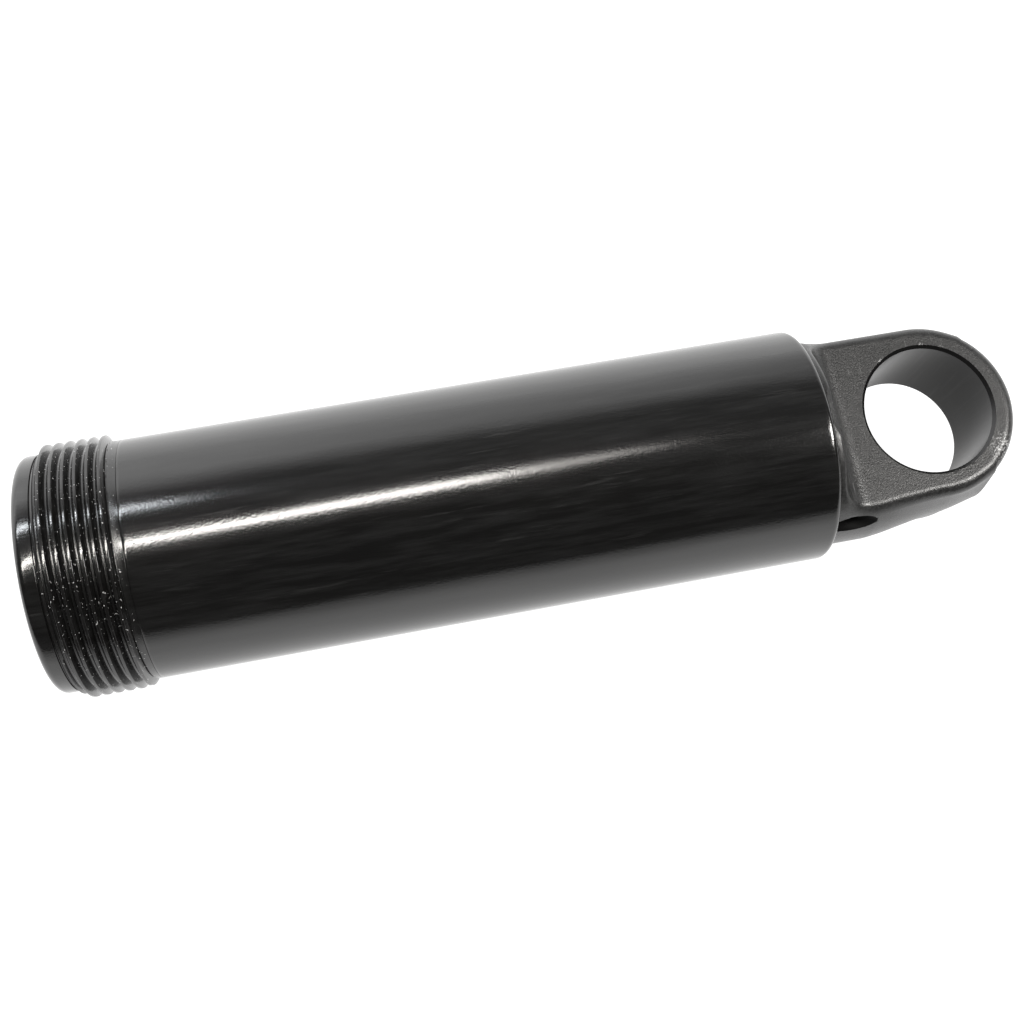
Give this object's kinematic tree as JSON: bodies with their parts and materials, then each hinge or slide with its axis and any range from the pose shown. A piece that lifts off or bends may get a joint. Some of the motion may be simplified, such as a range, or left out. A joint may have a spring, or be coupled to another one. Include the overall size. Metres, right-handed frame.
{
  "type": "damper rod case",
  "caption": "Threaded tubular case of a small gas-charged damper with an eyelet end, slanted gas port and a floating piston inside.",
  "frame": {"origin": "centre of the eyelet's bore", "axes": "+X out through the eyelet's crown, the tube running towards -X; +Z along the axis of the eyelet's bore; +Y to the side away from the gas port"},
  "size_m": [0.1126, 0.0286, 0.0286],
  "materials": {
    "tube_black": "gloss black anodised, finely turned",
    "eyelet_black": "matt black anodised over a fine blasted surface",
    "seal_rubber": "lightly oiled",
    "backup_plastic": "plain",
    "band_plastic": "bronze-filled, slightly mottled",
    "screw_steel": "satin",
    "piston_aluminium": "turned"
  },
  "bodies": {
    "case": {"case_tube": "tube_black", "eyelet_end": "eyelet_black", "spigot_o_ring": "seal_rubber", "spigot_backup_ring": "backup_plastic", "port_screw": "screw_steel", "port_pellet": "seal_rubber"},
    "piston": {"floating_piston": "piston_aluminium", "piston_o_ring": "seal_rubber", "oil_side_wear_band": "band_plastic", "gas_side_wear_band": "band_plastic", "bleed_screw": "screw_steel", "bleed_o_ring": "seal_rubber"}
  },
  "joints": [
    {"name": "piston_slide", "type": "slide", "parent": "case", "child": "piston", "axis": [1, 0, 0], "range_m": [-0.0505, 0.01]}
  ]
}
